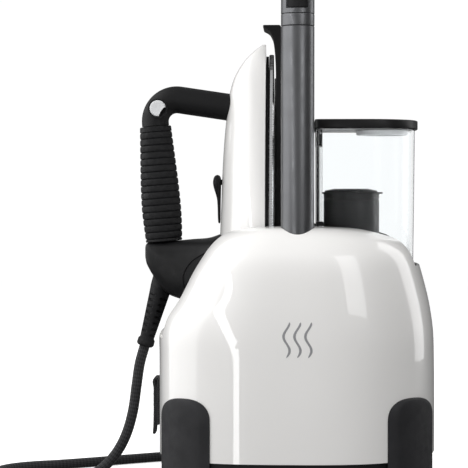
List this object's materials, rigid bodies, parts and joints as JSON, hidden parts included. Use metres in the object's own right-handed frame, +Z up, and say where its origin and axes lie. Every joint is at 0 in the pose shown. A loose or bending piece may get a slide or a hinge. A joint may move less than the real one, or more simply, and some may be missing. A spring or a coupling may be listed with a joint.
{
  "type": "steam generator iron",
  "caption": "Compact lift-type steam station: white housing with carry handle, docked iron with ribbed grip and hose, and a clear lift-out water tank with lid.",
  "frame": {"origin": "on the floor, in the middle of the station's box with the iron docked and without the free hose", "axes": "+Z up along the carry handle's posts; +X from the docked iron to the water tank; the front is -Y"},
  "size_m": [0.3564, 0.3371, 0.4272],
  "materials": {
    "shell_white": "high gloss",
    "black_plastic": "fine moulded grain",
    "pad_charcoal": "soft matte",
    "post_anthracite": "satin",
    "satin_black": "satin",
    "grip_rubber": "ribbed",
    "foot_rubber": "matte",
    "woven_black": "woven webbing",
    "hose_braid": "braided sleeve",
    "sole_aluminium": "polished",
    "cast_aluminium": "as cast",
    "steel": "brushed",
    "brass": "machined",
    "board_green": "solder resist",
    "light_grey": "satin",
    "tank_clear": "clear",
    "cartridge_charcoal": "satin",
    "silicone": "smooth"
  },
  "bodies": {
    "root": {"body_shell": "shell_white", "iron_dock_liner": "black_plastic", "tank_bay_liner": "black_plastic", "base_tray": "black_plastic", "corner_pad_front_left": "pad_charcoal", "corner_pad_rear_left": "pad_charcoal", "corner_pad_front_right": "pad_charcoal", "corner_pad_rear_right": "pad_charcoal", "rubber_foot_front_left": "foot_rubber", "rubber_foot_front_right": "foot_rubber", "rubber_foot_rear_left": "foot_rubber", "rubber_foot_rear_right": "foot_rubber", "handle_post_front": "post_anthracite", "handle_collar_front": "post_anthracite", "handle_post_rear": "post_anthracite", "handle_collar_rear": "post_anthracite", "handle_arch": "post_anthracite", "handle_inset": "grip_rubber", "iron_rest_plate": "satin_black", "hose_strap": "woven_black", "boiler_lower": "steel", "boiler_upper": "steel", "boiler_clamp": "steel", "heating_element": "steel", "safety_valve": "brass", "pressure_switch": "black_plastic", "water_pump": "black_plastic", "steam_solenoid": "brass", "control_board": "board_green", "feed_pipe": "silicone", "steam_pipe": "steel", "valve_socket": "black_plastic", "hose_gland": "black_plastic", "mains_inlet": "black_plastic", "tank_catch": "satin_black", "steam_hose": "hose_braid", "hose_tail": "hose_braid", "hose_coil": "hose_braid", "coil_tie": "woven_black"},
    "iron": {"iron_cover": "shell_white", "heat_shield": "black_plastic", "soleplate": "sole_aluminium", "steam_chamber": "cast_aluminium", "handle_elbow": "satin_black", "handle_grip": "grip_rubber", "handle_core": "black_plastic", "iron_heel": "black_plastic", "hose_boot": "grip_rubber"},
    "steam_button_front": {"steam_button_front": "light_grey"},
    "steam_button_rear": {"steam_button_rear": "light_grey"},
    "thermostat": {"thermostat_lever": "satin_black"},
    "tank": {"water_tank": "tank_clear", "tank_valve": "black_plastic", "lid_hinge_block": "black_plastic", "lid_hinge_pin": "steel"},
    "lid": {"tank_lid": "black_plastic", "lid_funnel": "light_grey"},
    "cartridge": {"filter_cartridge": "cartridge_charcoal"},
    "power_button": {"power_button": "light_grey"}
  },
  "joints": [
    {"name": "iron_lift", "type": "slide", "parent": "root", "child": "iron", "axis": [-0.7071, 0, 0.7071], "range_m": [0, 0.22]},
    {"name": "steam_button_front_press", "type": "slide", "parent": "iron", "child": "steam_button_front", "axis": [0, 1, 0], "range_m": [0, 0.002], "stiffness_N_per_m": 300},
    {"name": "steam_button_rear_press", "type": "slide", "parent": "iron", "child": "steam_button_rear", "axis": [0, -1, 0], "range_m": [0, 0.002], "stiffness_N_per_m": 300},
    {"name": "thermostat_turn", "type": "hinge", "parent": "iron", "child": "thermostat", "pos_m": [-0.052, 0, 0.241], "axis": [-1, 0, 0], "range_deg": [-35, 35]},
    {"name": "tank_lift", "type": "slide", "parent": "root", "child": "tank", "axis": [0, 0, 1], "range_m": [0, 0.2]},
    {"name": "lid_hinge", "type": "hinge", "parent": "tank", "child": "lid", "pos_m": [0.0259, 0, 0.2793], "axis": [0, -1, 0], "range_deg": [0, 75]},
    {"name": "cartridge_lift", "type": "slide", "parent": "tank", "child": "cartridge", "axis": [0, 0, 1], "range_m": [0, 0.03]},
    {"name": "power_button_press", "type": "slide", "parent": "root", "child": "power_button", "axis": [0, -1, 0], "range_m": [0, 0.002], "stiffness_N_per_m": 300}
  ]
}
